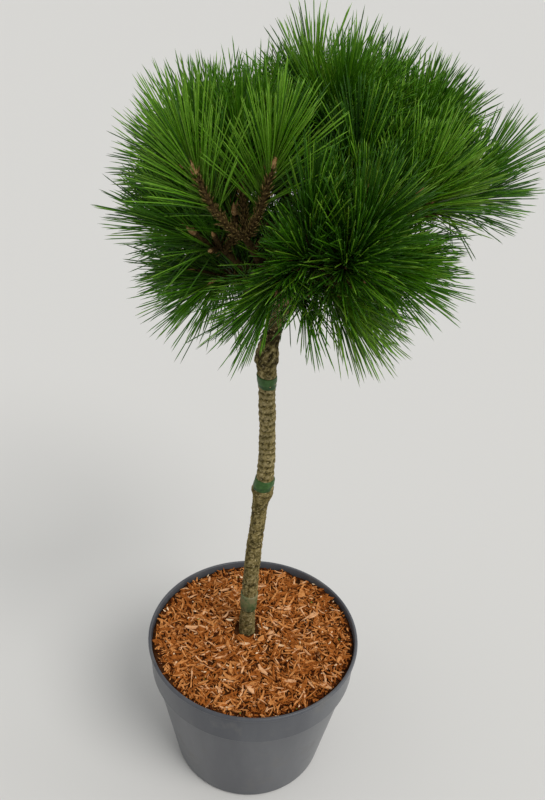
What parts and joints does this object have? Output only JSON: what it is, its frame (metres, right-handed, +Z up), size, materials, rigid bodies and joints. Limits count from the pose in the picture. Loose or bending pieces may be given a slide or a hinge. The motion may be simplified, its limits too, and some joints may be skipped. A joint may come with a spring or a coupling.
{
  "type": "potted austrian pine",
  "caption": "Small long-needled pine with a round crown on a clear stem, in a tapered plastic nursery pot with wood-chip mulch, to stand on a floor or shelf.",
  "frame": {"origin": "middle of the pot's flat underside", "axes": "+Z up along the stem, +X to the right and -Y toward the front of the plant"},
  "size_m": [0.3699, 0.3352, 0.8802],
  "materials": {
    "pot_plastic": "matte, faintly scuffed",
    "growing_medium": "moist peat and bark fines",
    "mulch": "shredded wood chips",
    "bark": "rough, leaf-scarred",
    "tape": "soft tying tape",
    "needles": "waxy"
  },
  "bodies": {
    "root": {"pot": "pot_plastic", "growing_medium": "growing_medium", "mulch": "mulch", "trunk": "bark", "tie_low": "tape", "tie_middle": "tape", "tie_top": "tape", "bough_low_left": "bark", "bough_low_right": "bark", "bough_low_back": "bark", "bough_low_front": "bark", "bough_low_back_left": "bark", "bough_low_back_right": "bark", "bough_front_left": "bark", "bough_right": "bark", "bough_back_left": "bark", "bough_front_right": "bark", "bough_left": "bark", "bough_back_right": "bark", "bough_front": "bark", "bough_back": "bark", "bough_upper_left": "bark", "bough_upper_right": "bark", "bough_upper_back_left": "bark", "bough_front_high": "bark", "bough_upper_back_right": "bark", "bough_upper_front_right": "bark", "needles_low_left": "needles", "needles_low_right": "needles", "needles_low_back": "needles", "needles_low_front": "needles", "needles_low_back_left": "needles", "needles_low_back_right": "needles", "needles_front_left": "needles", "needles_right": "needles", "needles_back_left": "needles", "needles_front_right": "needles", "needles_left": "needles", "needles_back_right": "needles", "needles_front": "needles", "needles_back": "needles", "needles_upper_left": "needles", "needles_upper_right": "needles", "needles_upper_back_left": "needles", "needles_front_high": "needles", "needles_upper_back_right": "needles", "needles_upper_front_right": "needles", "needles_top": "needles"}
  },
  "joints": []
}
